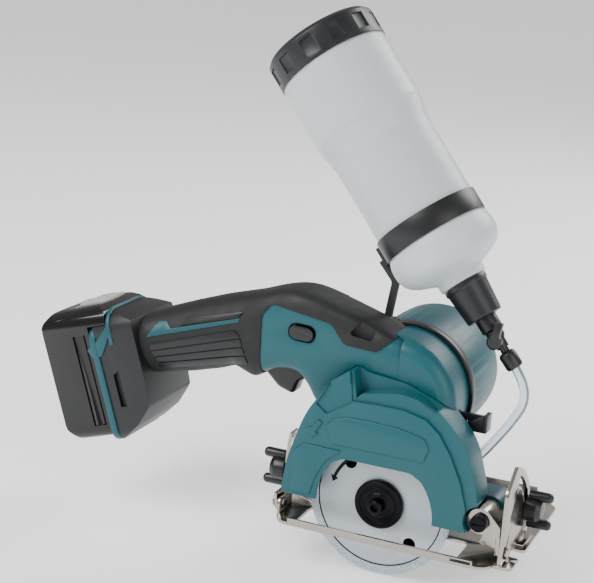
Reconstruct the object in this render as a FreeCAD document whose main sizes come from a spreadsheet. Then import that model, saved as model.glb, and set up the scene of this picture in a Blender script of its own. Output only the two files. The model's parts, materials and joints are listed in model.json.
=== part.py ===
import FreeCAD, Part
import math
import os
import re

# Hand-held cordless wet cutter for tile and glass: an 80 mm wheel under a guard, a tilting base
# with depth and bevel setting, a water bottle over the motor, and a slide battery on the handle.
# +X is the direction of cut, +Y points from the wheel to the motor, +Z is up.
# The origin is on the sole of the base, in the plane of the wheel, below the spindle.

V = FreeCAD.Vector
Placement = FreeCAD.Placement
Rotation = FreeCAD.Rotation
doc = FreeCAD.newDocument("TileCutter")

# Driving sizes in millimetres and degrees.
sizes = {
    "spindleZ": 17, "wheelRim": 40, "wheelDisc": 35.2, "wheelBore": 7.5, "rimHalf": 0.9,
    "discHalf": 0.65, "coolHole": 3.5, "coolRadius": 26.7, "flangeRadius": 13.6, "innerFlangeFar": 4.5,
    "outerFlangeNear": -4, "boltSeat": -4.6, "boltNear": -9, "boltRadius": 4, "socketRadius": 2.3,
    "boltShank": 3, "spindleRadius": 5, "journal": 4, "spindleFar": 27.8, "guardNear": -12,
    "guardFar": 9, "guardWall": 2.5, "guardChamber": 44.5, "guardBottom": 16, "windowRadius": 33,
    "wedgeFloor": -1.2, "shoulderNear": 0.4, "gearCaseNear": 9, "drumFar": 30, "lobeFar": 35,
    "drumRadius": 35, "runningGap": 0.05, "spindleTeeth": 22, "counterTeeth": 32, "outputModule": 1,
    "outputNear": 17.2, "outputFar": 23.2, "wheelGearTeeth": 65, "pinionTeeth": 9, "inputModule": 0.8,
    "inputNear": 28.6, "inputFar": 32.8, "motorFar": 90, "barrelRadius": 36, "barrelWall": 2.5,
    "shaftRadius": 2.5, "bandNear": 28.5, "bandFar": 34.5, "bandThick": 2.2, "statorOuter": 28,
    "statorInner": 17.5, "stackNear": 46, "stackFar": 68, "coreRadius": 16.5, "handleNear": 0,
    "handleFar": 36, "handleMid": 18, "gripThick": 2, "shellWall": 2.5, "handleTilt": 18,
    "triggerHalf": 6, "slotGap": 0.4, "footHalf": 24.8, "batteryHalf": 24.5, "railTop": 20,
    "baseThick": 1.6, "baseNear": -17.5, "baseFar": 88, "baseRear": -55, "nearLip": 4, "farLip": 9,
    "pinX": 57.5, "pinZ": 22.5, "pinRadius": 3, "pinHead": 4.5, "lugRadius": 8, "bevelY": -2,
    "bevelZ": 6, "bevelSlotRadius": 38, "bevelStart": 18.4, "bevelRange": 45, "quadrantNear": 69,
    "quadrantFar": 71, "holderNear": 66.5, "holderFar": 68.5, "guideRadius": 116, "guideThick": 1.6,
    "guideY": 13, "guideHalf": 4.5, "depthScrewZ": 19, "screwShank": 2.5, "screwSlotGap": 0.25,
    "hubRadius": 7, "bottleBody": 28.4, "bottleUpper": 31.2, "bottleWall": 1.5, "capRadius": 31.7,
    "hoseRadius": 2.5,
}
sheet = doc.addObject("Spreadsheet::Sheet", "Sizes")
for row, (alias, amount) in enumerate(sizes.items(), start=1):
    sheet.set("A%d" % row, alias)
    sheet.set("B%d" % row, str(amount))
    sheet.setAlias("B%d" % row, alias)
doc.recompute()
nodes = {}


def z(name):
    return float(sizes[name])


def expr(text):
    """Turn 'guardFar - 2' into an expression that reads the sheet."""
    return re.sub(r"[A-Za-z]\w*", lambda word: "Sizes." + word.group(0), str(text))


def keep(name, shape_object):
    """Name an object as a finished piece."""
    shape_object.Label = name
    nodes[name] = shape_object
    return shape_object


turns = {"XY": Rotation(), "XZ": Rotation(V(1, 0, 0), 90), "YZ": Rotation(V(1, 1, 1), 120)}
axisTurns = {"X": Rotation(V(0, 1, 0), 90), "Y": Rotation(V(1, 0, 0), -90), "Z": Rotation()}


def arc_between(start, corner, end, radius):
    """Tangent points and arc for one rounded corner, or None where the corner is sharp."""
    back = (start - corner).normalize()
    ahead = (end - corner).normalize()
    half = back.getAngle(ahead) / 2
    reach = radius / math.tan(half)
    middle = corner + (back + ahead).normalize() * (radius / math.sin(half))
    first = corner + back * reach
    last = corner + ahead * reach
    top = middle + (corner - middle).normalize() * radius
    return first, top, last


def outline_edges(points):
    """Lines and arcs of a closed outline; a third number rounds that corner."""
    corners = [V(p[0], p[1], 0) for p in points]
    count = len(corners)
    joints = []
    for i, point in enumerate(points):
        if len(point) > 2:
            joints.append(arc_between(corners[i - 1], corners[i], corners[(i + 1) % count], point[2]))
        else:
            joints.append((corners[i], None, corners[i]))
    edges = []
    for i, (first, top, last) in enumerate(joints):
        if top is not None:
            edges.append(Part.Arc(first, top, last))
        following = joints[(i + 1) % count][0]
        if (following - last).Length > 1e-5:
            edges.append(Part.LineSegment(last, following))
    return edges


def new_sketch(body, outlines, circles=()):
    sketch = body.newObject("Sketcher::SketchObject", body.Name + "Sketch")
    plane = [f for f in body.Origin.OriginFeatures if f.Role == "XY_Plane"][0]
    sketch.AttachmentSupport = (plane, "")
    sketch.MapMode = "FlatFace"
    for outline in outlines:
        for edge in outline_edges(outline):
            sketch.addGeometry(edge)
    for cx, cy, radius in circles:
        sketch.addGeometry(Part.Circle(V(cx, cy, 0), V(0, 0, 1), radius))
    return sketch


def slab(name, plane, outline, low, high, holes=(), circles=()):
    """A padded outline between two levels along the plane's normal."""
    body = doc.addObject("PartDesign::Body", name)
    outlines = ([outline] if outline else []) + list(holes)
    sketch = new_sketch(body, outlines, circles)
    pad = body.newObject("PartDesign::Pad", name + "Pad")
    pad.Profile = sketch
    pad.setExpression("Length", "(" + expr(high) + ") - (" + expr(low) + ")")
    body.Placement = Placement(V(), turns[plane])
    level = {"XY": ("z", low), "XZ": ("y", high), "YZ": ("x", low)}[plane]
    body.setExpression("Placement.Base." + level[0], expr(level[1]))
    return body


def turned(name, profile, start, direction):
    """A profile of (radius, distance along the axis), turned about an axis."""
    body = doc.addObject("PartDesign::Body", name)
    sketch = new_sketch(body, [profile])
    spin = body.newObject("PartDesign::Revolution", name + "Spin")
    spin.Profile = sketch
    spin.ReferenceAxis = (sketch, ["V_Axis"])
    spin.Angle = 360
    body.Placement = Placement(start, Rotation(V(0, 1, 0), direction))
    return body


def box(name, x, y, w):
    """A box from three (low, high) pairs of expressions."""
    block = doc.addObject("Part::Box", name)
    for letter, size, pair in (("x", "Length", x), ("y", "Width", y), ("z", "Height", w)):
        block.setExpression("Placement.Base." + letter, expr(pair[0]))
        block.setExpression(size, "(" + expr(pair[1]) + ") - (" + expr(pair[0]) + ")")
    return block


def rod(name, axis, radius, low, high, across, up):
    """A cylinder along X or Y; across and up are its other two places, in the order X, Y, Z."""
    bar = doc.addObject("Part::Cylinder", name)
    bar.setExpression("Radius", expr(radius))
    bar.setExpression("Height", "(" + expr(high) + ") - (" + expr(low) + ")")
    bar.Placement = Placement(V(), axisTurns[axis])
    others = {"X": "yz", "Y": "xz", "Z": "xy"}[axis]
    bar.setExpression("Placement.Base." + axis.lower(), expr(low))
    bar.setExpression("Placement.Base." + others[0], expr(across))
    bar.setExpression("Placement.Base." + others[1], expr(up))
    return bar


def join(name, *pieces):
    fused = doc.addObject("Part::MultiFuse", name)
    fused.Shapes = list(pieces)
    fused.Refine = True
    return fused


def cut(name, base, *tools):
    """The base with every tool taken away."""
    taken = tools[0] if len(tools) == 1 else join(name + "Tools", *tools)
    result = doc.addObject("Part::Cut", name)
    result.Base = base
    result.Tool = taken
    result.Refine = True
    return result


def common(name, first, second):
    result = doc.addObject("Part::Common", name)
    result.Base = first
    result.Tool = second
    return result


def inset(points, amount):
    """An outline moved inwards, or outwards where amount is negative; its points run anticlockwise."""
    corners = [V(p[0], p[1], 0) for p in points]
    moved = []
    for i, corner in enumerate(corners):
        before = (corner - corners[i - 1]).normalize()
        after = (corners[(i + 1) % len(corners)] - corner).normalize()
        normal_before = V(-before.y, before.x, 0)
        normal_after = V(-after.y, after.x, 0)
        bisector = normal_before + normal_after
        step = bisector * (amount * 2 / bisector.Length ** 2)
        place = corner + step
        moved.append((place.x, place.y) + tuple(points[i][2:]))
    return moved


def gear(name, teeth, module, low, high, up, phase, bore):
    """A spur gear about a Y axis at X 0, with straight-sided teeth and generous backlash."""
    pitch = 360.0 / teeth
    pitch_radius = module * teeth / 2
    profile = []
    for k in range(teeth):
        for turn, radius in ((-0.27, -1.1), (-0.11, 0.75), (0.11, 0.75), (0.27, -1.1)):
            angle = math.radians(phase + pitch * (k + turn))
            reach = pitch_radius + radius * module
            profile.append((reach * math.cos(angle), up + reach * math.sin(angle)))
    return slab(name, "XZ", profile, low, high, circles=[(0, up, bore)])


def centre_height(stage):
    """Height of the counter shaft, then of the motor shaft, from the gear sizes."""
    output = z("outputModule") * (z("spindleTeeth") + z("counterTeeth")) / 2
    entry = z("inputModule") * (z("wheelGearTeeth") + z("pinionTeeth")) / 2
    return z("spindleZ") + output + (entry if stage == "motor" else 0)


counterZ = centre_height("counter")
motorZ = centre_height("motor")
Y = V(0, 1, 0)


# Wheel, flanges and spindle
def wheel_parts():
    centre = (0, z("spindleZ"))
    holes = [(z("coolRadius") * math.cos(a), z("spindleZ") + z("coolRadius") * math.sin(a), z("coolHole"))
             for a in (math.radians(133), math.radians(313))]
    circles = [centre + (z("wheelDisc"),), centre + (z("wheelBore"),)] + holes
    keep("wheel_disc", slab("wheel_disc", "XZ", None, "0 - discHalf", "discHalf", circles=circles))
    rim = [centre + (z("wheelRim"),), centre + (z("wheelDisc"),)]
    keep("wheel_rim", slab("wheel_rim", "XZ", None, "0 - rimHalf", "rimHalf", circles=rim))


def flange_parts():
    axis = V(0, 0, z("spindleZ"))
    edge = z("flangeRadius")
    bore = z("spindleRadius")
    near = z("discHalf")
    inner = [(bore, -near), (z("wheelBore"), -near), (z("wheelBore"), near), (edge, near), (edge, 3),
             (8, z("innerFlangeFar")), (bore, z("innerFlangeFar"))]
    keep("inner_flange", turned("inner_flange", inner, axis, Y))
    face = z("outerFlangeNear")
    seat = z("boltSeat")
    outer = [(z("boltShank"), -near), (z("boltShank"), seat), (6.2, seat), (6.8, face), (9.4, face),
             (9.4, face + 0.5), (10.4, face + 0.5), (10.4, face), (edge - 0.8, face), (edge, face + 0.8),
             (edge, -near)]
    keep("outer_flange", turned("outer_flange", outer, axis, Y))


def flange_bolt():
    axis = V(0, 0, z("spindleZ"))
    head = z("boltRadius")
    near = z("boltNear")
    shank = z("boltShank")
    seat = z("boltSeat")
    corner = z("socketRadius")
    solid = [(0, near), (head - 0.6, near), (head, near + 0.6), (head, seat), (shank, seat), (shank, 14),
             (0, 14)]
    blank = turned("flange_bolt_blank", solid, axis, Y)
    socket = [(corner * math.cos(math.radians(a)), z("spindleZ") + corner * math.sin(math.radians(a)))
              for a in range(0, 360, 60)]
    key = slab("flange_bolt_socket", "XZ", socket, "boltNear - 1", "boltNear + 3")
    keep("flange_bolt", cut("flange_bolt", blank, key))


def spindle():
    axis = V(0, 0, z("spindleZ"))
    seat = z("spindleRadius")
    journal = z("journal")
    shank = z("boltShank")
    near = -z("discHalf")
    shape = [(shank, near), (seat, near), (seat, 9.3), (journal, 9.3), (journal, z("spindleFar")),
             (0, z("spindleFar")), (0, 14), (shank, 14)]
    keep("spindle", turned("spindle", shape, axis, Y))
    keep("spindle_gear", gear("spindle_gear", int(z("spindleTeeth")), z("outputModule"), "outputNear",
                              "outputFar", z("spindleZ"), 90 + 180 / z("spindleTeeth"), journal))


def bearing(name, near, far, height, outer, inner):
    """A bearing drawn as one ring with its bore a running fit on the shaft."""
    ring = [(inner + z("runningGap"), near), (outer, near), (outer, far), (inner + z("runningGap"), far)]
    return turned(name, ring, V(0, 0, height), Y)


def bearings():
    keep("spindle_front_bearing", bearing("spindle_front_bearing", 9.6, 16.6, z("spindleZ"), 11, z("journal")))
    keep("spindle_rear_bearing", bearing("spindle_rear_bearing", 23.8, 27.8, z("spindleZ"), 8, z("journal")))
    front = bearing("counter_front", 12, 16.6, counterZ, 8, z("journal"))
    back = bearing("counter_back", 23.8, 28, counterZ, 8, z("journal"))
    keep("counter_bearings", join("counter_bearings", front, back))
    front = bearing("motor_front", 36, 40, motorZ, 8, z("shaftRadius"))
    back = bearing("motor_back", 80, 84, motorZ, 6.5, z("shaftRadius"))
    keep("motor_bearings", join("motor_bearings", front, back))


def counter_shaft():
    journal = z("journal")
    shaft = rod("counter_bar", "Y", "journal", "12", "inputFar", "0", str(counterZ))
    pinion = gear("counter_teeth", int(z("counterTeeth")), z("outputModule"), "outputNear", "outputFar",
                  counterZ, -90, journal)
    keep("counter_shaft", join("counter_shaft", shaft, pinion))
    keep("counter_gear", gear("counter_gear", int(z("wheelGearTeeth")), z("inputModule"), "inputNear",
                              "inputFar", counterZ, 90 + 180 / z("wheelGearTeeth"), journal))


# Motor
def motor_shaft():
    bar = rod("motor_bar", "Y", "shaftRadius", "inputNear", "86", "0", str(motorZ))
    teeth = gear("motor_teeth", int(z("pinionTeeth")), z("inputModule"), "inputNear", "inputFar", motorZ, -90,
                 z("shaftRadius"))
    keep("motor_shaft", join("motor_shaft", bar, teeth))


def rotor():
    shaft = z("shaftRadius")
    core = [(0, motorZ, z("coreRadius")), (0, motorZ, shaft)]
    stack = slab("rotor_stack", "XZ", None, "stackNear", "stackFar", circles=core)
    slots = []
    for k in range(8):
        angle = math.radians(45 * k + 22.5)
        place = (12.5 * math.cos(angle), motorZ + 12.5 * math.sin(angle), 2.6)
        mouth = (16.2 * math.cos(angle), motorZ + 16.2 * math.sin(angle), 1.2)
        slots += [slab("rotor_slot", "XZ", None, "stackNear - 1", "stackFar + 1", circles=[place]),
                  slab("rotor_mouth", "XZ", None, "stackNear - 1", "stackFar + 1", circles=[mouth])]
    keep("rotor_core", cut("rotor_core", stack, *slots))
    bars = [(8, 70), (8, 76), (shaft, 76), (shaft, 70)]
    keep("commutator", turned("commutator", bars, V(0, 0, motorZ), Y))


def cooling_fan():
    shaft = z("shaftRadius")
    hub = turned("fan_hub", [(shaft, 41), (7, 41), (7, 44), (24, 44), (24, 45), (shaft, 45)],
                 V(0, 0, motorZ), Y)
    blades = []
    for k in range(9):
        blade = doc.addObject("Part::Box", "fan_blade")
        blade.Length = 18
        blade.Width = 4
        blade.Height = 1.2
        turn = Rotation(Y, 40 * k)
        blade.Placement = Placement(V(0, 41, motorZ) + turn.multVec(V(5.5, 0, -0.6)), turn)
        blades.append(blade)
    keep("cooling_fan", join("cooling_fan", hub, *blades))


def stator():
    can = [(0, motorZ, z("statorOuter")), (0, motorZ, z("statorOuter") - 2.5)]
    ring = slab("stator_can", "XZ", None, "stackNear - 1", "stackFar + 2", circles=can)
    magnets = slab("stator_magnets", "XZ", None, "stackNear", "stackFar",
                   circles=[(0, motorZ, z("statorOuter") - 2.5), (0, motorZ, z("statorInner"))])
    low, high = str(motorZ - 25.4), str(motorZ + 25.4)
    gap = box("stator_gap", ("-6", "6"), ("stackNear - 2", "stackFar + 3"), (low, high))
    poles = cut("stator_poles", magnets, gap)
    keep("stator", join("stator", ring, poles))


def brushes():
    left = box("brush_left", ("-15", "-8.05"), ("71", "75"), (str(motorZ - 3), str(motorZ + 3)))
    right = box("brush_right", ("8.05", "15"), ("71", "75"), (str(motorZ - 3), str(motorZ + 3)))
    plate = slab("brush_plate", "XZ", None, "70.2", "76.2",
                 circles=[(0, motorZ, 33.4), (0, motorZ, 15)])
    keep("brush_holder", join("brush_holder", plate, left, right))


def motor_plate():
    plate = slab("motor_plate_disc", "XZ", None, "35.4", "40", circles=[(0, motorZ, 33.4), (0, motorZ, 8)])
    vents = []
    for k in range(6):
        angle = math.radians(60 * k)
        hole = (22 * math.cos(angle), motorZ + 22 * math.sin(angle), 6)
        vents.append(slab("motor_plate_vent", "XZ", None, "35", "41", circles=[hole]))
    keep("motor_plate", cut("motor_plate", plate, *vents))


def motor_housing():
    outer = z("barrelRadius")
    wall = z("barrelWall")
    bore = 33.4
    near = z("bandFar")
    far = z("motorFar")
    spigot = z("drumRadius")
    profile = [(bore, z("drumFar")), (spigot, z("drumFar")), (spigot, near), (outer, near),
               (outer - 0.6, far - 16), (outer - 1.2, far - 5, 9), (outer - 7, far, 4), (0, far),
               (0, far - wall), (6.6, far - wall), (6.6, 80), (9.2, 80), (9.2, far - wall - 1),
               (outer - 9, far - wall - 1, 3), (bore, far - 11, 4)]
    barrel = turned("motor_barrel", profile, V(0, 0, motorZ), Y)
    room = rod("motor_lobe_room", "Y", "29.3", "29", "lobeFar + 0.3", "0", str(counterZ))
    vents = []
    for k in range(8):
        slot = doc.addObject("Part::Box", "motor_vent")
        slot.Length = 14
        slot.Width = 6
        slot.Height = 3
        turn = Rotation(Y, 45 * k + 22.5)
        slot.Placement = Placement(V(0, far - 4, motorZ) + turn.multVec(V(14, 0, -1.5)), turn)
        vents.append(slot)
    keep("motor_housing", cut("motor_housing", barrel, room, *vents))


def clamp_band():
    inner = z("drumRadius")
    outer = inner + z("bandThick")
    ring = slab("clamp_ring", "XZ", None, "bandNear", "bandFar", circles=[(0, motorZ, inner), (0, motorZ, outer)])
    room = rod("clamp_lobe_room", "Y", "29.3", "bandNear - 1", "bandFar + 1", "0", str(counterZ))
    keep("clamp_band", cut("clamp_band", ring, room))


# Gear case and wheel guard
def drum_shoulder():
    """The drum's rounded near edge, where it shows between the handle and the guard."""
    radius = z("drumRadius")
    near = z("shoulderNear")
    far = z("gearCaseNear") + 0.5
    profile = [(0, near), (radius, near, 8), (radius, far), (0, far)]
    ring = turned("shoulder_ring", profile, V(0, 0, motorZ), Y)
    guard = slab("shoulder_guard_room", "XZ", inset(guardOutline, -0.3), "-1", "guardFar")
    handle = box("shoulder_handle_room", ("-40", "4.1"), ("-1", "gearCaseNear"), ("30", "120"))
    return cut("drum_shoulder", ring, guard, handle)


def gear_housing():
    drum = rod("drum", "Y", "drumRadius", "gearCaseNear", "drumFar", "0", str(motorZ))
    lobe = rod("lobe", "Y", "29", "gearCaseNear", "lobeFar", "0", str(counterZ))
    boss = rod("boss", "Y", "13.7", "gearCaseNear", "drumFar", "0", "spindleZ")
    sides = [(-13.6, 15.5), (13.6, 15.5), (28, 36.5), (-28, 36.5)]
    web = slab("web", "XZ", sides, "gearCaseNear", "drumFar")
    shoulder = drum_shoulder()
    front = [(12, 14.5), (z("pinX"), 14.5), (z("pinX") + 0.01, 30.5), (20, 30.5)]
    front_lug = slab("front_lug", "XZ", front, "gearCaseNear + 0.5", "26")
    front_eye = rod("front_eye", "Y", "lugRadius", "gearCaseNear + 0.5", "26", "pinX", "pinZ")
    rear = [(-57, 10.5, 2), (-10, 10.5), (-16, 24), (-57, 24, 2)]
    rear_lug = slab("rear_lug", "XZ", rear, "gearCaseNear + 0.5", "17.5")
    solid = join("gear_case_solid", drum, shoulder, lobe, boss, web, front_lug, front_eye, rear_lug)
    hollow = rod("drum_hollow", "Y", "drumRadius - 3", "gearCaseNear + 2.5", "drumFar + 1", "0", str(motorZ))
    above = box("drum_above", ("-40", "40"), ("0", "50"), ("62.2", "120"))
    upper = common("drum_room", hollow, above)
    stack = [rod("room_spindle_gear", "Y", "12.6", "16.6", "23.8", "0", "spindleZ"),
             rod("room_counter", "Y", "17.6", "16.6", "23.8", "0", str(counterZ)),
             rod("room_input", "Y", "27.6", "28", "33.4", "0", str(counterZ)),
             rod("room_pinion", "Y", "5.6", "26", "36", "0", str(motorZ)),
             rod("seat_spindle_front", "Y", "11", "9.6", "16.8", "0", "spindleZ"),
             rod("seat_spindle_rear", "Y", "8", "23.6", "28.2", "0", "spindleZ"),
             rod("seat_counter_front", "Y", "8", "12", "16.8", "0", str(counterZ)),
             rod("seat_counter_back", "Y", "8", "23.6", "28.2", "0", str(counterZ)),
             rod("hole_spindle", "Y", "6", "8", "10", "0", "spindleZ"),
             rod("hole_pin", "Y", "pinRadius", "8", "27", "pinX", "pinZ"),
             rod("hole_depth_screw", "X", "screwShank + runningGap", "-58", "-38", "guideY", "depthScrewZ"),
             rod("room_barrel", "Y", "barrelRadius + 0.3", "drumFar", "lobeFar + 1", "0", str(motorZ))]
    lock_slot = box("lock_slot", ("28", "37"), ("12.5", "15.5"), ("61.5", "72.5"))
    keep("gear_housing", cut("gear_housing", solid, upper, lock_slot, *stack))


guardOutline = [(-53.4, 16, 2), (54.5, 16, 2), (56.2, 33, 40), (47.5, 62, 40), (31, 78, 30), (10, 86, 20),
                (-12, 88.5), (-18, 91, 2), (-29, 83, 3), (-42, 63, 60), (-51, 35, 60)]
guardWedge = [(-17.8, 97), (-14.4, 76.2), (-11.5, 79.2, 3), (8.8, 83.2, 25), (20.4, 81.6, 12), (27.6, 75.8),
              (36, 80), (36, 97)]


def wheel_guard():
    solid = slab("guard_solid", "XZ", guardOutline, "guardNear", "guardFar")
    chamber = rod("guard_chamber", "Y", "guardChamber", "guardNear + guardWall", "guardFar - guardWall", "0",
                  "spindleZ")
    mouth = box("guard_mouth", ("0 - guardChamber", "guardChamber"),
                ("guardNear + guardWall", "guardFar - guardWall"), ("guardBottom - 5", "spindleZ"))
    inner_face = "guardNear + guardWall + 0.5"
    disc = rod("guard_window_disc", "Y", "windowRadius", "guardNear - 1", inner_face, "0", "spindleZ")
    below = slab("guard_window_limit", "XZ", [(-40, 0), (40, 0), (40, 30), (19, 42, 8), (-19, 42, 8), (-40, 30)],
                 "guardNear - 2", "guardNear + guardWall + 1")
    opening = common("guard_window", disc, below)
    wedge = slab("guard_wedge", "XZ", guardWedge, "guardNear - 1", "wedgeFloor")
    hole = rod("guard_spindle_hole", "Y", "8", "0", "guardFar + 1", "0", "spindleZ")
    relief = rod("guard_pin_relief", "Y", "lugRadius + 0.4", "guardNear - 1", "guardFar + 1", "pinX", "pinZ")
    drip = rod("guard_water_hole", "Y", "1.5", "0", "guardFar + 1", "36.5", "39")
    keep("wheel_guard", cut("wheel_guard", solid, chamber, mouth, opening, wedge, hole, relief, drip))


# Handle
housingOutline = [(-152.6, 93.6), (-141.6, 60.4), (-114.4, 66.8, 90), (-95, 73.5, 25), (-85.5, 69.6, 2),
                  (-80.5, 70.2, 2), (-66, 77.6, 20), (-51, 76.6, 12), (-43, 62), (-30, 56), (4, 56),
                  (4, 107), (-16, 113.3, 60), (-40, 120.3, 60), (-59, 124.6, 14), (-85, 117.2, 60),
                  (-104, 111.8, 90), (-129, 103, 120)]
gripRegion = [(-175, 40), (-77, 40), (-77, 108, 6), (-71, 115.5, 4), (-35, 111.2, 8), (-27.5, 100.4, 5),
              (-9, 99.6, 3), (2, 112), (5, 140), (-175, 140)]


def housing_blank(name, thickness, gap):
    """The handle's outer form, or the same form a given thickness further in."""
    outline = inset(housingOutline, thickness) if thickness else housingOutline
    return slab(name, "XZ", outline, "handleNear + %g" % gap, "handleFar - %g" % gap)


def housing_room():
    """Everything that the handle has to stay clear of at its front end."""
    drum = rod("housing_drum_room", "Y", "drumRadius", "8", "drumFar + 10", "0", str(motorZ))
    guard = slab("housing_guard_room", "XZ", inset(guardOutline, -0.3), "guardNear - 1", "guardFar")
    behind = box("housing_band_room", ("-38", "10"), ("28", "handleFar + 1"), ("40", "130"))
    slot = box("housing_trigger_slot", ("-84", "-47"), ("handleMid - triggerHalf - slotGap",
                                                       "handleMid + triggerHalf + slotGap"), ("55", "85"))
    return join("housing_rooms", drum, guard, behind, slot)


def housing_parts():
    rooms = housing_room()
    outer = cut("handle_outer", housing_blank("handle_form", 0, 0), rooms)
    core = housing_blank("handle_core", z("gripThick"), z("gripThick"))
    inside = housing_blank("handle_inside", z("gripThick") + z("shellWall"), z("gripThick") + z("shellWall"))
    region = slab("grip_region", "XZ", gripRegion, "handleNear - 1", "handleFar + 1")
    skin = cut("grip_skin", outer, core)
    grip = common("handle_grip", skin, region)
    keep("handle_grip", grip)
    button_hole = slab("lock_off_hole", "XZ", oval(-53, 102, 8.4, 5.4, 18), "handleNear - 1", "handleNear + 6")
    shell = cut("housing_shell", outer, grip, inside, button_hole)
    near_half = box("near_side", ("-160", "10"), ("handleNear - 1", "handleMid"), ("30", "140"))
    far_half = box("far_side", ("-160", "10"), ("handleMid", "handleFar + 1"), ("30", "140"))
    keep("housing_near", common("housing_near", shell, near_half))
    keep("housing_far", common("housing_far", shell, far_half))


def oval(x, height, half_long, half_short, tilt):
    """A slot outline with round ends, turned by tilt degrees."""
    flat = [(-half_long, -half_short, half_short * 0.98), (half_long, -half_short, half_short * 0.98),
            (half_long, half_short, half_short * 0.98), (-half_long, half_short, half_short * 0.98)]
    c, s = math.cos(math.radians(tilt)), math.sin(math.radians(tilt))
    return [(x + a * c - b * s, height + a * s + b * c, r) for a, b, r in flat]


def handle_trim():
    rise = math.radians(z("handleTilt"))
    along = (math.cos(rise), math.sin(rise))
    start = (-147.5, 83)

    def place(a, b):
        return (start[0] + a * along[0] - b * along[1], start[1] + a * along[1] + b * along[0])

    shape = [place(0, -1.5), place(58, -1.5), place(60, 1.5), place(12, 1.5), place(9, 6), place(4, 6)]
    near = slab("accent_near", "XZ", shape, "handleNear - 0.6", "handleNear")
    far = slab("accent_far", "XZ", shape, "handleFar", "handleFar + 0.6")
    keep("grip_accent", join("grip_accent", near, far))


def housing_screws():
    screws = []
    for x, height in ((-134, 78), (-104, 88), (-72, 92), (-46, 90)):
        profile = [(0, 36.8), (0, 36), (2.8, 36), (2.8, 36.4), (2.4, 36.8)]
        screws.append(turned("housing_screw", profile, V(x, 0, height), Y))
    keep("housing_screws", join("housing_screws", *screws))


def trigger_parts():
    finger = [(-77, 83), (-77, 73, 3), (-69, 65.5, 6), (-60, 62.6, 2.4), (-57.6, 70.4, 6), (-49, 76, 2.5),
              (-49, 83)]
    keep("trigger", slab("trigger", "XZ", finger, "handleMid - triggerHalf", "handleMid + triggerHalf"))
    body = box("switch_case", ("-106", "-84.5"), ("8", "28"), ("84.5", "104"))
    stem = box("switch_stem", ("-84.5", "-82.6"), ("14", "22"), ("86", "90"))
    keep("switch_body", join("switch_body", body, stem))
    button = slab("lock_off_button", "XZ", oval(-53, 100.8, 6.4, 3.4, 18), "handleNear - 0.4", "handleNear + 7")
    keep("lock_off_button", button)


def shaft_lock():
    plate = slab("lock_plate", "XZ", [(22, 62.3), (49, 62.3, 1.5), (49, 71.7, 1), (22, 71.7)], "12.9", "15.1",
                 circles=[(38.5, 67.6, 1.6)])
    tab = box("lock_tab", ("48.2", "50.4"), ("12.9", "21.5"), ("62.3", "71.7"))
    keep("shaft_lock", join("shaft_lock", plate, tab))


# Foot and battery, built level and then tilted with the handle
footFrame = Placement(V(-172, z("handleMid"), 60), Rotation(Y, -z("handleTilt")))


def tilted(name, shape_object):
    shape_object.Placement = footFrame
    return keep(name, shape_object)


def battery_foot():
    side = [(0, -40), (6, -40, 3), (17, -34, 5), (27.6, -24, 5), (28.8, -9.8), (28.8, 25.8), (14, 33, 4),
            (12.4, 33), (12.4, 25.7), (0, 25.7)]
    block = slab("foot_block", "XZ", side, "0 - footHalf", "footHalf")
    tee_web = box("foot_tee_web", ("-4", "0"), ("-12.9", "12.9"), ("-30", "railTop"))
    tee_head = box("foot_tee_head", ("-7.7", "-4"), ("-16.2", "16.2"), ("-30", "railTop"))
    room = box("foot_terminal_room", ("-9", "10"), ("-10", "10"), ("-18", "8"))
    rim_room = slab("foot_rim_room", "YZ", [(-26, -42), (26, -42), (26, 30), (-26, 30)], "0", "3",
                    holes=[[(-23.4, -38.6, 4), (23.4, -38.6, 4), (23.4, 24.2, 4), (-23.4, 24.2, 4)]])
    side_slot = slab("foot_side_slot", "XZ", [(9.5, -22), (13.5, -22), (13.5, -1), (9.5, -3)],
                     "0 - footHalf - 1", "0 - footHalf + 2.5")
    solid = join("foot_solid", block, tee_web, tee_head)
    tilted("battery_foot", cut("battery_foot", solid, room, rim_room, side_slot))
    terminals = box("terminal_block", ("-7.7", "10"), ("-10", "10"), ("-18", "8"))
    tilted("terminal_block", join("terminal_block_piece", terminals, box("terminal_blade", ("-7.9", "-7.6"),
           ("-6", "6"), ("-12", "2"))))
    band = slab("foot_rim_band", "YZ", [(-25.6, -40.8, 5), (25.6, -40.8, 5), (25.6, 25.7, 5), (-25.6, 25.7, 5)],
                "0", "3", holes=[[(-23.4, -38.6, 4), (23.4, -38.6, 4), (23.4, 24.2, 4), (-23.4, 24.2, 4)]])
    lozenge = slab("foot_lozenge", "XZ", [(-5.5, 15), (-1, 17.5), (6, 12), (7, 3), (3, -3), (0, 1), (-5.5, 8)],
                   "-25.8", "-24.9")
    tilted("foot_rim", join("foot_rim", band, lozenge))


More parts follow.
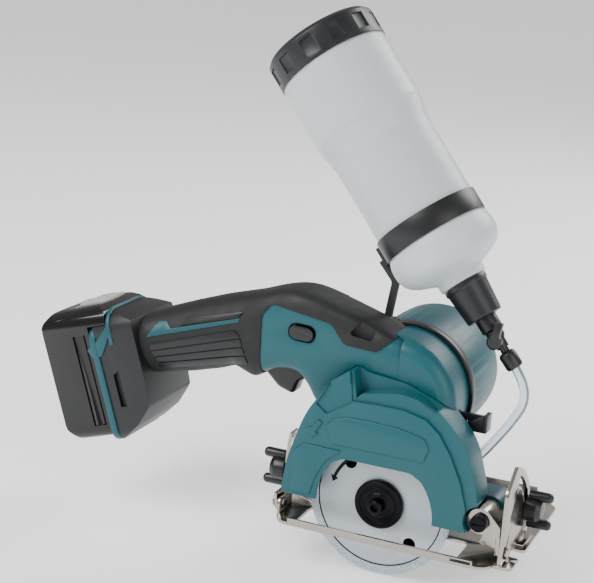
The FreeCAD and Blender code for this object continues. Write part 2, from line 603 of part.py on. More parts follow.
def battery():
    side = [(-31, -31, 6), (-24, -38, 4), (-0.3, -38), (-0.3, 26.1), (12, 26.1), (12, 33, 4), (6, 37, 5),
            (-24, 37, 9), (-31, 31, 5)]
    block = slab("battery_block", "XZ", side, "0 - batteryHalf", "batteryHalf")
    tee_web = box("battery_tee_web", ("-4.4", "1"), ("-13.2", "13.2"), ("-39", "railTop + 2"))
    tee_head = box("battery_tee_head", ("-8", "-3.7"), ("-16.5", "16.5"), ("-39", "railTop + 2"))
    cell_room = box("battery_cell_room", ("-29", "-11"), ("-22.8", "22.8"), ("-33", "32.4"))
    button_room = box("battery_button_room", ("-9.5", "6.5"), ("-12.9", "12.9"), ("33.2", "38"))
    tilted("battery_case", cut("battery_case", block, tee_web, tee_head, cell_room, button_room))
    cells = []
    for offset in (-15.1, 0, 15.1):
        cells.append(rod("battery_cell", "Z", "7.4", "-32.9", "32.3", "-20", str(offset)))
    tilted("battery_cells", join("battery_cells", *cells))
    cap = slab("battery_button_block", "XZ", [(-9.1, 36.4), (6.1, 36.4), (6.1, 38.2, 0.6), (-9.1, 38.6, 0.6)],
               "-12.5", "12.5")
    ribs = [box("battery_button_rib", (str(x), str(x + 1.4)), ("-11", "11"), ("38", "38.9"))
            for x in (-6, -3.4, -0.8)]
    tilted("battery_button", join("battery_button", cap, *ribs))


# Base with its depth and bevel setting
def base_plate():
    outline = [(-55, -17.5, 8), (67, -17.5, 8), (67, -11), (77, -11, 2), (77, 4, 2), (68, 4), (68, 15),
               (77, 15, 2), (77, 82, 6), (70, 88, 4), (-55, 88, 6)]
    opening = [(-43, -13, 3), (48, -13, 3), (48, 10, 3), (-43, 10, 3)]
    sheet_metal = slab("base_sheet", "XY", outline, "0", "baseThick", holes=[opening])
    lip = box("base_near_lip", ("-46", "58"), ("baseNear", "baseNear + 1.5"), ("0", "nearLip"))
    far = box("base_far_lip", ("-48", "64"), ("baseFar - 1.6", "baseFar"), ("0", "farLip"))
    rear_ear = slab("base_rear_ear", "YZ", [(-8, 0), (10.6, 0), (10.6, 8, 3), (1, 10, 4), (-8, 9.6, 4)],
                    "baseRear - 1.4", "baseRear")
    floor = box("base_ear_floor", ("baseRear - 1.4", "baseRear + 1"), ("-8", "10.6"), ("0", "baseThick"))
    flange = slab("base_opening_flange", "XZ", [(-56.4, 0), (-42, 0), (-42, 2.6), (-47, 6), (-56.4, 8)],
                  "9", "10.6")
    solid = join("base_solid", sheet_metal, lip, far, rear_ear, floor, flange)
    slot = box("base_fence_slot", ("46", "57"), ("baseNear - 1", "baseNear + 4"),
               ("baseThick", "nearLip - 0.8"))
    rivet = rod("base_rear_rivet_hole", "X", "2.05", "-59", "-55", "bevelY", "bevelZ")
    sight = slab("base_sight_notch", "XY", [(73, -1), (78, -2.4), (78, 2.4)], "-1", "baseThick + 1")
    keep("base_plate", cut("base_plate", solid, slot, rivet, sight))


def polar(radius, degrees):
    angle = math.radians(degrees)
    return (z("bevelY") + radius * math.cos(angle), z("bevelZ") + radius * math.sin(angle))


def arc_slot(centre, radius, half, first, last, steps=8):
    """Outline of a slot along an arc, with flat ends."""
    angles = [math.radians(first + (last - first) * k / steps) for k in range(steps + 1)]
    sides = [[(centre[0] + reach * math.cos(a), centre[1] + reach * math.sin(a)) for a in angles]
             for reach in (radius + half, radius - half)]
    return sides[0] + sides[1][::-1]


def bevel_quadrant():
    radius = z("bevelSlotRadius")
    half = z("screwShank") + z("screwSlotGap")
    rim = [polar(radius + 7, 6 + 9 * k) for k in range(9)]
    outline = [(-10, 1.6), (40, 1.6, 3)] + rim + [(-6.5, 40, 6), (-7.5, 14, 20)]
    centre = (z("bevelY"), z("bevelZ"))
    slot = arc_slot(centre, radius, half, z("bevelStart") - 4.5, z("bevelStart") + z("bevelRange") + 4.5)
    plate = slab("quadrant_plate", "YZ", outline, "quadrantNear", "quadrantFar", holes=[slot])
    foot = box("quadrant_foot", ("quadrantNear", "quadrantFar + 4"), ("18", "38"),
               ("baseThick", "baseThick + 1.6"))
    hole = rod("quadrant_rivet_hole", "X", "2.05", "68", "72", "bevelY", "bevelZ")
    keep("bevel_quadrant", cut("bevel_quadrant", join("quadrant_solid", plate, foot), hole))


def front_holder():
    gap = z("runningGap")
    plate_outline = [(-7, 5.4, 2), (-4.6, 2.6, 2), (39, 9, 4), (40, 24, 4), (24, 25), (8, 21), (-7, 21, 3)]
    plate = slab("holder_plate", "YZ", plate_outline, "holderNear", "holderFar")
    near_eye = rod("holder_near_eye", "Y", "7", "-8", "8", "pinX", "pinZ")
    near_arm = slab("holder_near_arm", "XZ", [(57.5, 15.6), (68.5, 15.6), (68.5, 21), (61, 29)], "-8", "8")
    far_eye = rod("holder_far_eye", "Y", "7", "26.4", "28.4", "pinX", "pinZ")
    far_arm = slab("holder_far_arm", "XZ", [(57.5, 15.6), (68.5, 15.6), (68.5, 23), (61, 29)], "26.4", "28.4")
    pad = slab("holder_stop", "XZ", [(58, 10.5, 1), (66.6, 9.5, 1), (66.6, 17), (60, 17)], "-8", "-6")
    solid = join("holder_solid", plate, near_eye, near_arm, far_eye, far_arm, pad)
    pin_hole = rod("holder_pin_hole", "Y", "pinRadius + %g" % gap, "-9", "29", "pinX", "pinZ")
    rivet = rod("holder_rivet_hole", "X", "2.05", "66", "69", "bevelY", "bevelZ")
    screw_y, screw_z = polar(z("bevelSlotRadius"), z("bevelStart"))
    thread = rod("holder_thread", "X", "screwShank + %g" % gap, "66", "69", str(screw_y), str(screw_z))
    keep("front_holder", cut("front_holder", solid, pin_hole, rivet, thread))


def front_pin():
    shape = [(0, -12.6), (4, -12.6), (z("pinHead"), -12), (z("pinHead"), -8.2), (z("pinRadius"), -8.2),
             (z("pinRadius"), 29), (0, 29)]
    blank = turned("front_pin_blank", shape, V(z("pinX"), 0, z("pinZ")), Y)
    slot = box("front_pin_slot", ("pinX - 3", "pinX + 3"), ("-13", "-11.6"), ("pinZ - 0.6", "pinZ + 0.6"))
    keep("front_pin", cut("front_pin", blank, slot))


def bevel_rivets():
    near = [(0, -0.9), (3, -0.9), (3, 0), (2, 0), (2, 4.6), (3.6, 4.6), (3.6, 5.4), (2, 6.2), (0, 6.2)]
    front = turned("front_rivet", [(0, -2.7), (2, -2.7), (2, 2.2), (3.6, 2.2), (3.6, 3.2), (2, 4), (0, 4)],
                   V(69, z("bevelY"), z("bevelZ")), V(1, 0, 0))
    rear = turned("rear_rivet", near, V(z("baseRear"), z("bevelY"), z("bevelZ")),
                  V(-1, 0, 0))
    keep("bevel_rivets", join("bevel_rivets", front, rear))


def depth_guide():
    """A strip bent about the front pin, slotted for the depth screw, with a foot down to the base."""
    centre = (z("pinX"), z("pinZ"))
    radius = z("guideRadius") + z("guideThick") / 2
    band = arc_slot(centre, radius, z("guideThick") / 2, 180 - 9.6, 180 + 8.5, steps=10)
    strip = slab("guide_strip", "XZ", band, "guideY - guideHalf", "guideY + guideHalf")
    foot = arc_slot(centre, radius, z("guideThick") / 2, 180 + 5.4, 180 + 9.9, steps=2)
    leg = slab("guide_leg", "XZ", foot, "-6", "guideY + guideHalf")
    slot_band = arc_slot(centre, radius, 4, 180 - 7.9, 180 + 3.5, steps=10)
    half = "%g" % (z("screwShank") + z("screwSlotGap"))
    slot = slab("guide_slot", "XZ", slot_band, "guideY - " + half, "guideY + " + half)
    rivet = rod("guide_rivet_hole", "X", "2.05", "-62", "-56", "bevelY", "bevelZ")
    keep("depth_guide", cut("depth_guide", join("guide_solid", strip, leg), slot, rivet))


def wing_screw(name, start, direction, shank):
    """A knob with two wings that stand out along its axis; distances run from the clamped face."""
    hub = [(0, -shank), (z("screwShank"), -shank), (z("screwShank"), 0), (z("hubRadius"), 0),
           (z("hubRadius"), 6, 1), (z("hubRadius") - 1.5, 8.6), (0, 8.6)]
    knob = turned(name + "_hub", hub, start, direction)
    capsule = [(0, 1), (2.8, 1), (2.8, 14, 2.4), (0, 14)]
    wings = [turned(name + "_wing", capsule, start + V(0, 0, 7.8 * side), direction) for side in (-1, 1)]
    return keep(name, join(name, knob, *wings))


def wing_screws():
    screw_y, screw_z = polar(z("bevelSlotRadius"), z("bevelStart"))
    wing_screw("bevel_screw", V(z("quadrantFar") + 0.3, screw_y, screw_z), V(1, 0, 0), 11)
    wing_screw("depth_screw", V(-60.6, z("guideY"), z("depthScrewZ")), V(-1, 0, 0), 18)


# Water bottle, strap, cock and hose
bottleCentre = V(0, 35, 167.6)
bottleAxis = V(-0.6395, 0.1026, 0.7619).normalize()


def along_bottle(distance):
    return bottleCentre + bottleAxis * distance


def bottle_piece(name, profile):
    return turned(name, profile, bottleCentre, bottleAxis)


def water_bottle():
    body = z("bottleBody")
    upper = z("bottleUpper")
    wall = z("bottleWall")
    outer = [(8, -58), (8, -40.6), (12.4, -40.6), (12.4, -38), (13.5, -37, 1), (13.5, -34.5, 1), (27, -29, 4),
             (30.2, -19, 5), (28.8, -12.4, 1), (body, -12), (body, 46, 5), (upper, 57, 5), (upper, 96), (29.6, 96),
             (29.6, 107.6)]
    inner = [(29.6 - wall, 107.6), (29.6 - wall, 58), (body - wall, 46), (body - wall, -18), (25.2, -27),
             (12, -33.2), (6.5, -36), (6.5, -58)]
    keep("water_bottle", bottle_piece("water_bottle", outer + inner))


def fill_cap():
    radius = z("capRadius")
    cap = [(0, 108.2), (30, 108.2), (30, 96.3), (radius, 96.3), (radius, 111, 0.8), (radius - 2.4, 113.4, 0.8),
           (0, 113.4)]
    blank = bottle_piece("cap_blank", cap)
    pockets = []
    frame = Placement(bottleCentre, Rotation(V(0, 1, 0), bottleAxis))
    for k in range(12):
        pocket = doc.addObject("Part::Box", "cap_pocket")
        pocket.Length = 2
        pocket.Width = 9
        pocket.Height = 8
        turn = Placement(V(), Rotation(V(0, 1, 0), 30 * k))
        pocket.Placement = frame.multiply(turn).multiply(Placement(V(radius - 0.9, 99.5, -4), Rotation()))
        pockets.append(pocket)
    keep("fill_cap", cut("fill_cap", blank, *pockets))
    gasket = [(20, 107.7), (28, 107.7), (28, 108.1), (20, 108.1)]
    keep("cap_gasket", bottle_piece("cap_gasket", gasket))


def neck_fittings():
    cap = [(8, -41), (12.1, -41), (12.1, -43.5), (11.5, -44), (9.9, -62, 1), (6, -62), (6, -58.2), (8, -58.2)]
    blank = bottle_piece("neck_cap_blank", cap)
    flutes = []
    frame = Placement(bottleCentre, Rotation(V(0, 1, 0), bottleAxis))
    for k in range(16):
        flute = doc.addObject("Part::Box", "neck_flute")
        flute.Length = 2
        flute.Width = 20
        flute.Height = 1
        turn = Placement(V(), Rotation(V(0, 1, 0), 22.5 * k))
        flute.Placement = frame.multiply(turn).multiply(Placement(V(10.9, -63, -0.5), Rotation(V(0, 0, 1), -4)))
        flutes.append(flute)
    keep("neck_cap", cut("neck_cap", blank, *flutes))
    stem = [(0, -80.6), (3.4, -80.6), (3.4, -76), (4.6, -74), (4.6, -70.5), (5.9, -69.5), (5.9, -62), (5.9, -56),
            (3, -56), (3, -66), (0, -66)]
    barrel = bottle_piece("cock_stem", stem)
    reach = (hosePoints[0] - along_bottle(-78)).Length
    spout = turned("cock_spout", [(0, 0), (2.4, 0), (2.4, reach), (0, reach)], along_bottle(-78), hoseStart)
    boss = turned("cock_boss", [(0, 0), (2.6, 0), (2.6, 4.5), (0, 4.5)], cockPlace, cockAxis)
    keep("cock_body", join("cock_body", barrel, spout, boss))
    knob = turned("cock_lever_knob", [(0, 4.6), (4, 4.6), (4, 8.2), (3, 9), (0, 9)], cockPlace, cockAxis)
    arm = doc.addObject("Part::Box", "cock_lever_arm")
    arm.Length = 11
    arm.Width = 3
    arm.Height = 4
    frame = Placement(cockPlace, Rotation(V(0, 1, 0), cockAxis))
    arm.Placement = frame.multiply(Placement(V(0, 6.2, -2), Rotation()))
    keep("cock_lever", join("cock_lever", knob, arm))


def strap_parts():
    band = [(z("bottleBody"), -12), (29.6, -12), (29.6, 0), (z("bottleBody"), 0)]
    keep("strap_band", bottle_piece("strap_band", band))
    down = bottleAxis.cross(Y).normalize()
    frame = Placement(along_bottle(-10.5) + down * 29.6, Rotation(V(0, 1, 0), bottleAxis))
    buckle = doc.addObject("Part::Feature", "strap_buckle_block")
    side = down.cross(bottleAxis)
    corner = along_bottle(-11.5) + down * 29.65 - side * 5
    wire = Part.makePolygon([corner, corner + side * 10, corner + side * 10 + bottleAxis * 11,
                             corner + bottleAxis * 11, corner])
    buckle.Shape = Part.Face(wire).extrude(down * 2.6)
    keep("strap_buckle", cut("strap_buckle", buckle, tank_arm_bar("buckle_slot")))


def tank_arm_bar(name):
    bar = [(-17.25, 109), (-13, 108.6), (-9.64, 131.59, 6), (-18.91, 142.63), (-22.12, 139.93),
           (-14.12, 130.4, 3)]
    return slab(name, "XZ", bar, "30.2", "32.8")


def tank_arm():
    """Flat bar from the motor's clamp band up to the strap buckle."""
    piece = tank_arm_bar("tank_arm_bar")
    saddle = box("tank_arm_foot", ("-19", "-9"), ("29", "34"), ("106.6", "110.8"))
    drum = rod("tank_arm_room", "Y", "drumRadius + bandThick", "28", "35", "0", str(motorZ))
    keep("tank_arm", cut("tank_arm", join("tank_arm_solid", piece, saddle), drum))


hosePoints = [V(55.3, 26.1, 101.7), V(63.4, 25.6, 92.3), V(66.8, 25, 80), V(61, 23.4, 68.2),
              V(53.9, 21, 57.4), V(46.8, 18.2, 47.6), V(40.6, 14.9, 40.8)]
hoseStart = (hosePoints[0] - along_bottle(-78)).normalize()
hoseRun = (hosePoints[1] - hosePoints[0]).normalize()
hoseEnd = (hosePoints[-1] - hosePoints[-2]).normalize()
cockPlace = along_bottle(-76)
cockAxis = (V(0, -1, 0) + bottleAxis * bottleAxis.y).normalize()


def cord_wire(points):
    """Straight runs joined by tangent arcs, each arc as large as its two runs allow."""
    edges = []
    last = points[0]
    for before, corner, after in zip(points, points[1:], points[2:]):
        back = before - corner
        ahead = after - corner
        turn = math.pi - back.getAngle(ahead)
        radius = 0.45 * min(back.Length, ahead.Length) / math.tan(turn / 2)
        first, top, end = arc_between(before, corner, after, radius)
        edges += [Part.LineSegment(last, first).toShape(), Part.Arc(first, top, end).toShape()]
        print("hose turn %.0f deg, radius %.1f mm" % (math.degrees(turn), radius))
        last = end
    edges.append(Part.LineSegment(last, points[-1]).toShape())
    return Part.Wire(edges)


def water_hose():
    path = cord_wire(hosePoints)
    radius = z("hoseRadius")
    section = Part.Wire(Part.makeCircle(radius, hosePoints[0], hoseRun))
    hose = doc.addObject("Part::Feature", "water_hose")
    hose.Shape = path.makePipeShell([section], True, False)
    expected = math.pi * radius ** 2 * path.Length
    print("hose length %.1f mm, volume %.0f of %.0f" % (path.Length, hose.Shape.Volume, expected))
    keep("water_hose", hose)
    bore = radius + 0.05
    sleeve = [(bore, -3.5), (3.6, -3.5), (4.7, -2), (4.7, 5), (4, 6.4), (bore, 6.4)]
    keep("hose_sleeve", turned("hose_sleeve", sleeve, hosePoints[0], hoseRun))


def water_nozzle():
    end = hosePoints[-1]
    barb = turned("nozzle_barb", [(0, 0), (2.4, 0), (3, 1), (3, 5), (0, 5)], end, hoseEnd)
    stub = rod("nozzle_stub", "Y", "3.4", "guardFar", "14.5", "36.5", "39")
    keep("water_nozzle", join("water_nozzle", barb, stub))


def build():
    wheel_parts()
    flange_parts()
    flange_bolt()
    spindle()
    bearings()
    counter_shaft()
    motor_shaft()
    rotor()
    cooling_fan()
    stator()
    brushes()
    motor_plate()
    motor_housing()
    clamp_band()
    gear_housing()
    wheel_guard()
    housing_parts()
    handle_trim()
    housing_screws()
    trigger_parts()
    shaft_lock()
    battery_foot()
    battery()
    base_plate()
    bevel_quadrant()
    front_holder()
    front_pin()
    bevel_rivets()
    depth_guide()
    wing_screws()
    water_bottle()
    fill_cap()
    neck_fittings()
    strap_parts()
    tank_arm()
    water_hose()
    water_nozzle()


def check_and_write():
    doc.recompute()
    bad = [o.Name for o in doc.Objects if "Invalid" in o.State or "Error" in o.State]
    for name, piece in nodes.items():
        shape = piece.Shape
        if shape.isNull() or not shape.isValid() or shape.Volume <= 0:
            bad.append(name)
    if bad:
        raise RuntimeError("failed: " + ", ".join(bad))
    os.makedirs("parts", exist_ok=True)
    for name, piece in nodes.items():
        piece.Shape.exportStep("parts/" + name + ".step")
        print(name, len(piece.Shape.Solids), "solids, %.1f mm3" % piece.Shape.Volume)
    print(len(nodes), "nodes")


build()
check_and_write()
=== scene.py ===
import bmesh
import bpy
import json
import math
import numpy as np
from mathutils import Matrix, Vector


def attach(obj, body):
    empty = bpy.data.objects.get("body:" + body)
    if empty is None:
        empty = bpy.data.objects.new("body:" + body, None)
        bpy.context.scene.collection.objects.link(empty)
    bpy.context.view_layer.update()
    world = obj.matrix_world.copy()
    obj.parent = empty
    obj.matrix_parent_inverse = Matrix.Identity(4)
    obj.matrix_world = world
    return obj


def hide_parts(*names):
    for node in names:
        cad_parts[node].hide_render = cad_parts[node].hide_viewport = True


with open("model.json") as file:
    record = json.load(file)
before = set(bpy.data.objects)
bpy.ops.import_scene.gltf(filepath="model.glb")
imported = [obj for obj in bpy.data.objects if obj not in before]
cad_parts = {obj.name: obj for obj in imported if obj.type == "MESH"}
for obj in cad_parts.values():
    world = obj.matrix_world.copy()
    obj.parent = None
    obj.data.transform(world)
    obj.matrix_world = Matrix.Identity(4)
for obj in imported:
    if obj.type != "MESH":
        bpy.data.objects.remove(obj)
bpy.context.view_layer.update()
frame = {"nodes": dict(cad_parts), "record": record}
mm = 0.001  # every number below is in millimetres until it meets this


def point(x, y, z):
    return Vector((x * mm, y * mm, z * mm))


# Camera: stands off the near left corner of the cutter, a little above it
viewSet = {"place": (242.6, -707.3, 331.2), "right": (0.91308, 0.40321, 0.06095),
           "up": (-0.15886, 0.21403, 0.96382), "ahead": (-0.37557, 0.88973, -0.25948), "lens": 90.909}
lensData = bpy.data.cameras.new("viewCamera")
lensData.lens = viewSet["lens"]
lensData.sensor_width = 36
lensData.clip_start = 0.01
camera = bpy.data.objects.new("viewCamera", lensData)
bpy.context.collection.objects.link(camera)
turn = Matrix([viewSet["right"], viewSet["up"], [-a for a in viewSet["ahead"]]]).transposed().to_4x4()
camera.matrix_world = Matrix.Translation(point(*viewSet["place"])) @ turn
bpy.context.scene.camera = camera


# Materials
def linear(code):
    # sRGB hex to linear colour with alpha
    parts = [int(code[i:i + 2], 16) / 255 for i in (1, 3, 5)]
    return [c / 12.92 if c <= 0.04045 else ((c + 0.055) / 1.055) ** 2.4 for c in parts] + [1.0]


def addNode(tree, kind, settings=(), links=()):
    # a node with its sockets or properties set, and its inputs linked
    made = tree.nodes.new(kind)
    for key, value in dict(settings).items():
        if key in made.inputs.keys() or isinstance(key, int):
            made.inputs[key].default_value = value
        else:
            setattr(made, key, value)
    for key, source in dict(links).items():
        tree.links.new(source, made.inputs[key])
    return made


def newMaterial(name, base, **settings):
    made = bpy.data.materials.new(name)
    made.use_nodes = True
    shader = made.node_tree.nodes["Principled BSDF"]
    shader.inputs["Base Color"].default_value = linear(base)
    for key, value in settings.items():
        shader.inputs[key.replace("_", " ")].default_value = value
    return made, made.node_tree, shader


def grainBump(tree, shader, grain, depth, strength=1.0, kind="ShaderNodeTexNoise"):
    # a fine raised grain: grain is its spacing and depth its height, in millimetres
    place = addNode(tree, "ShaderNodeTexCoord")
    texture = addNode(tree, kind, {"Scale": 1000 / grain}, {"Vector": place.outputs["Object"]})
    out = texture.outputs["Distance" if kind == "ShaderNodeTexVoronoi" else "Fac"]
    bump = addNode(tree, "ShaderNodeBump", {"Strength": strength, "Distance": depth * mm}, {"Height": out})
    tree.links.new(bump.outputs["Normal"], shader.inputs["Normal"])
    return texture


def shade(tree, shader, socket, spacing, low, high, detail=3):
    # a slow drift of one value between low and high, over patches of that many millimetres
    place = addNode(tree, "ShaderNodeTexCoord")
    noise = addNode(tree, "ShaderNodeTexNoise", {"Scale": 1000 / spacing, "Detail": detail},
                    {"Vector": place.outputs["Object"]})
    limits = {"From Min": 0.3, "From Max": 0.7, "To Min": low, "To Max": high}
    spread = addNode(tree, "ShaderNodeMapRange", limits, {"Value": noise.outputs["Fac"]})
    tree.links.new(spread.outputs["Result"], shader.inputs[socket])


def mouldedNylon(name, colour, roughness):
    # glass-filled nylon, moulded in a lightly eroded tool: a soft sheen with a faint grain
    made, tree, shader = newMaterial(name, colour, Roughness=roughness, Coat_Weight=0.0)
    shader.inputs["Specular IOR Level"].default_value = 0.42
    grainBump(tree, shader, 0.9, 0.02, 0.35)  # the real grain is finer; this is as coarse as shows
    return made


def overmouldedRubber():
    # thermoplastic elastomer over the grip: nearly black, matte, with an even stipple
    made, tree, shader = newMaterial("stippledElastomer", "#070809", Roughness=0.6)
    grainBump(tree, shader, 0.75, 0.06, 0.55, "ShaderNodeTexVoronoi")
    shade(tree, shader, "Roughness", 9, 0.55, 0.68)
    return made


def moulded(name, colour, roughness, grain=0.0):
    # plain moulded plastic: even colour, the gloss its tool was polished to
    made, tree, shader = newMaterial(name, colour, Roughness=roughness)
    if grain:
        grainBump(tree, shader, grain, 0.02, 0.3)
    return made


def platedSteel():
    # pressed steel with bright nickel plating: mirror-like but a little warm, rippled by the press
    made, tree, shader = newMaterial("nickelPlatedSteel", "#A8A199", Metallic=1.0, Roughness=0.2)
    shade(tree, shader, "Roughness", 14, 0.15, 0.27)
    grainBump(tree, shader, 9, 0.12, 0.25)
    return made


def steel(name, colour, roughness, grain=0.0):
    # machined or blackened steel: its colour is that of the metal or of its oxide
    made, tree, shader = newMaterial(name, colour, Metallic=1.0, Roughness=roughness)
    if grain:
        grainBump(tree, shader, grain, 0.02, 0.3)
    return made


def wheelSteel():
    # wheel centre of tool steel, sprayed silver: a flat grey sheen with a faint turned grain
    made, tree, shader = newMaterial("sprayedWheelSteel", "#AEB6BB", Metallic=0.35, Roughness=0.42)
    shader.inputs["Specular IOR Level"].default_value = 0.5
    ringSpacing = 1.9635  # the turned grain is finer than this, and would not show
    spindleHeight = 17
    place = addNode(tree, "ShaderNodeTexCoord")
    centred = addNode(tree, "ShaderNodeMapping", {"Location": (0, 0, -spindleHeight * mm)},
                      {"Vector": place.outputs["Object"]})
    pattern = {"wave_type": "RINGS", "rings_direction": "Y", "Scale": math.pi / 10 / (ringSpacing * mm),
               "Distortion": 1.5, "Detail": 2}
    rings = addNode(tree, "ShaderNodeTexWave", pattern, {"Vector": centred.outputs["Vector"]})
    bump = addNode(tree, "ShaderNodeBump", {"Strength": 0.08, "Distance": 0.02 * mm},
                   {"Height": rings.outputs["Fac"]})
    tree.links.new(bump.outputs["Normal"], shader.inputs["Normal"])
    return made


def diamondRim():
    # sintered diamond grit in a soft metal bond: pale blue-grey and speckled, with no gloss
    made, tree, shader = newMaterial("sinteredDiamondRim", "#AEBBC2", Metallic=0.25, Roughness=0.6)
    texture = grainBump(tree, shader, 0.8, 0.08, 0.8)
    ramp = addNode(tree, "ShaderNodeValToRGB", {}, {"Fac": texture.outputs["Fac"]})
    ramp.color_ramp.elements[0].position = 0.35
    ramp.color_ramp.elements[0].color = linear("#8D9BA3")
    ramp.color_ramp.elements[1].position = 0.65
    ramp.color_ramp.elements[1].color = linear("#C3CED4")
    tree.links.new(ramp.outputs["Color"], shader.inputs["Base Color"])
    return made


def blownPolythene():
    # blow-moulded natural polythene: milky, lets light through, with a waxy skin
    made, tree, shader = newMaterial("blownPolythene", "#DCE6EC", Roughness=0.36, IOR=1.5)
    shader.inputs["Subsurface Weight"].default_value = 0.55
    shader.inputs["Subsurface Radius"].default_value = (0.9, 1.0, 1.1)
    shader.inputs["Subsurface Scale"].default_value = 9 * mm
    shader.inputs["Transmission Weight"].default_value = 0.22
    shade(tree, shader, "Roughness", 22, 0.32, 0.42)
    return made


def clearVinyl():
    # soft extruded vinyl tube: clear, faintly blue, with a wet gloss
    made, _, shader = newMaterial("clearVinyl", "#DCE8F4", Roughness=0.08, IOR=1.45)
    shader.inputs["Transmission Weight"].default_value = 0.86
    return made


paint = {
    "teal": mouldedNylon("tealNylon", "#0A4F57", 0.4),
    "tealRim": mouldedNylon("tealFootNylon", "#0A4A53", 0.4),
    "rubber": overmouldedRubber(),
    "blackNylon": moulded("blackNylon", "#0B0C0E", 0.36, 0.9),
    "footNylon": moulded("blackFootNylon", "#0E0F11", 0.42, 0.9),
    "gloss": moulded("polishedBlackAbs", "#050506", 0.16),
    "grey": moulded("greyPolycarbonate", "#AEB3AB", 0.35),
    "label": moulded("labelFilm", "#12606C", 0.25),
    "strap": moulded("blackPolypropylene", "#0C0D0F", 0.4),
    "cap": moulded("blackCapPolypropylene", "#101216", 0.4, 1.1),
    "nickel": platedSteel(),
    "oxide": steel("blackOxideSteel", "#1D1D20", 0.34, 0.8),
    "blackPlate": moulded("paintedSteelPlate", "#141416", 0.3),
    "ground": steel("groundSteel", "#A5A6A8", 0.28),
    "zinc": steel("zincPlatedSteel", "#B4B5B6", 0.3),
    "cut": steel("hobbedGearSteel", "#77797D", 0.34),
    "copper": steel("enamelledCopper", "#B5703F", 0.35),
    "wheel": wheelSteel(),
    "rim": diamondRim(),
    "bottle": blownPolythene(),
    "vinyl": clearVinyl(),
}
print("materials ready")


# Building blocks
def finishObject(obj, name, material, body, replaced=(), angle=35):
    # names a piece, colours it, smooths it below that angle, and fixes it to its body
    obj.name = name
    obj.data.name = name
    obj.data.materials.clear()
    obj.data.materials.append(paint[material])
    obj.data.polygons.foreach_set("use_smooth", np.ones(len(obj.data.polygons), dtype=bool))
    if angle:
        obj.data.set_sharp_from_angle(angle=math.radians(angle))
    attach(obj, body)
    if replaced:
        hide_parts(*replaced)
    return obj


def meshObject(name, points, faces):
    # points in millimetres, faces as lists of indices
    mesh = bpy.data.meshes.new(name)
    mesh.from_pydata((np.asarray(points) * mm).tolist(), [], [list(f) for f in faces])
    mesh.validate()
    obj = bpy.data.objects.new(name, mesh)
    bpy.context.collection.objects.link(obj)
    return obj


def outwards(obj):
    # recalculates the faces of a closed mesh to point out
    work = bmesh.new()
    work.from_mesh(obj.data)
    bmesh.ops.remove_doubles(work, verts=work.verts, dist=1e-6)
    bmesh.ops.recalc_face_normals(work, faces=work.faces)
    work.to_mesh(obj.data)
    work.free()
    return obj


def gridFaces(rows, columns, closed=True):
    # quads between neighbouring rows and columns; the columns may close into a ring
    row = np.arange(rows - 1)[:, None]
    column = np.arange(columns if closed else columns - 1)[None, :]
    following = (column + 1) % columns
    quads = np.stack([row * columns + column, row * columns + following,
                      (row + 1) * columns + following, (row + 1) * columns + column], axis=-1)
    return quads.reshape(-1, 4).tolist()


def tube(name, rings):
    # a closed solid through rings of points, shape (rows, columns, 3), with flat ends
    rows, columns = rings.shape[:2]
    faces = gridFaces(rows, columns)
    faces.append(list(range(columns)))
    faces.append(list(range((rows - 1) * columns, rows * columns)))
    return outwards(meshObject(name, rings.reshape(-1, 3), faces))


def lathe(name, profile, start, direction, segments=96):
    # profile of (radius, distance along the axis), turned about the axis: each point is the start,
    # plus the distance along the axis, plus the radius at each angle across it
    axis = Vector(direction).normalized()
    side = axis.orthogonal().normalized()
    other = axis.cross(side)
    radius, along = np.asarray(profile, dtype=float).T
    angle = np.linspace(0, 2 * np.pi, segments, endpoint=False)
    ring = np.cos(angle)[:, None] * np.array(side) + np.sin(angle)[:, None] * np.array(other)
    rings = np.array(start) + along[:, None, None] * np.array(axis) + radius[:, None, None] * ring[None]
    return tube(name, rings)


def smoothLine(points, steps=12):
    # Catmull-Rom curve through the points, each span in that many steps
    p = np.asarray(points, dtype=float)
    p = np.vstack([2 * p[0] - p[1], p, 2 * p[-1] - p[-2]])
    t = np.linspace(0, 1, steps, endpoint=False)[:, None]
    spans = [0.5 * (2 * b + (c - a) * t + (2 * a - 5 * b + 4 * c - d) * t ** 2
                    + (3 * b - a - 3 * c + d) * t ** 3)
             for a, b, c, d in zip(p, p[1:], p[2:], p[3:])]
    return np.vstack(spans + [p[-2:-1]])


def rounded(corners, steps=6):
    # an outline whose corners (x, z, radius) are rounded by arcs
    out = []
    count = len(corners)
    for i, corner in enumerate(corners):
        here = np.array(corner[:2], dtype=float)
        radius = corner[2] if len(corner) > 2 else 0
        if not radius:
            out.append(here)
            continue
        back = np.array(corners[i - 1][:2]) - here
        ahead = np.array(corners[(i + 1) % count][:2]) - here
        back, ahead = back / np.linalg.norm(back), ahead / np.linalg.norm(ahead)
        half = math.acos(np.clip(back @ ahead, -1, 1)) / 2
        middle = here + (back + ahead) / np.linalg.norm(back + ahead) * radius / math.sin(half)
        first = here + back * radius / math.tan(half) - middle
        last = here + ahead * radius / math.tan(half) - middle
        sweep = math.atan2(first[0] * last[1] - first[1] * last[0], first @ last)
        for k in range(steps + 1):
            a = sweep * k / steps
            out.append(middle + [first[0] * math.cos(a) - first[1] * math.sin(a),
                                 first[0] * math.sin(a) + first[1] * math.cos(a)])
    return np.array(out)


def prism(name, outline, low, high, place=None):
    # an outline of (x, z) points, straight across from y = low to y = high
    flat = np.asarray(outline, dtype=float)
    rings = np.stack([np.column_stack([flat[:, 0], np.full(len(flat), y), flat[:, 1]]) for y in (low, high)])
    obj = tube(name, rings)
    if place:
        obj.data.transform(place)
    return obj


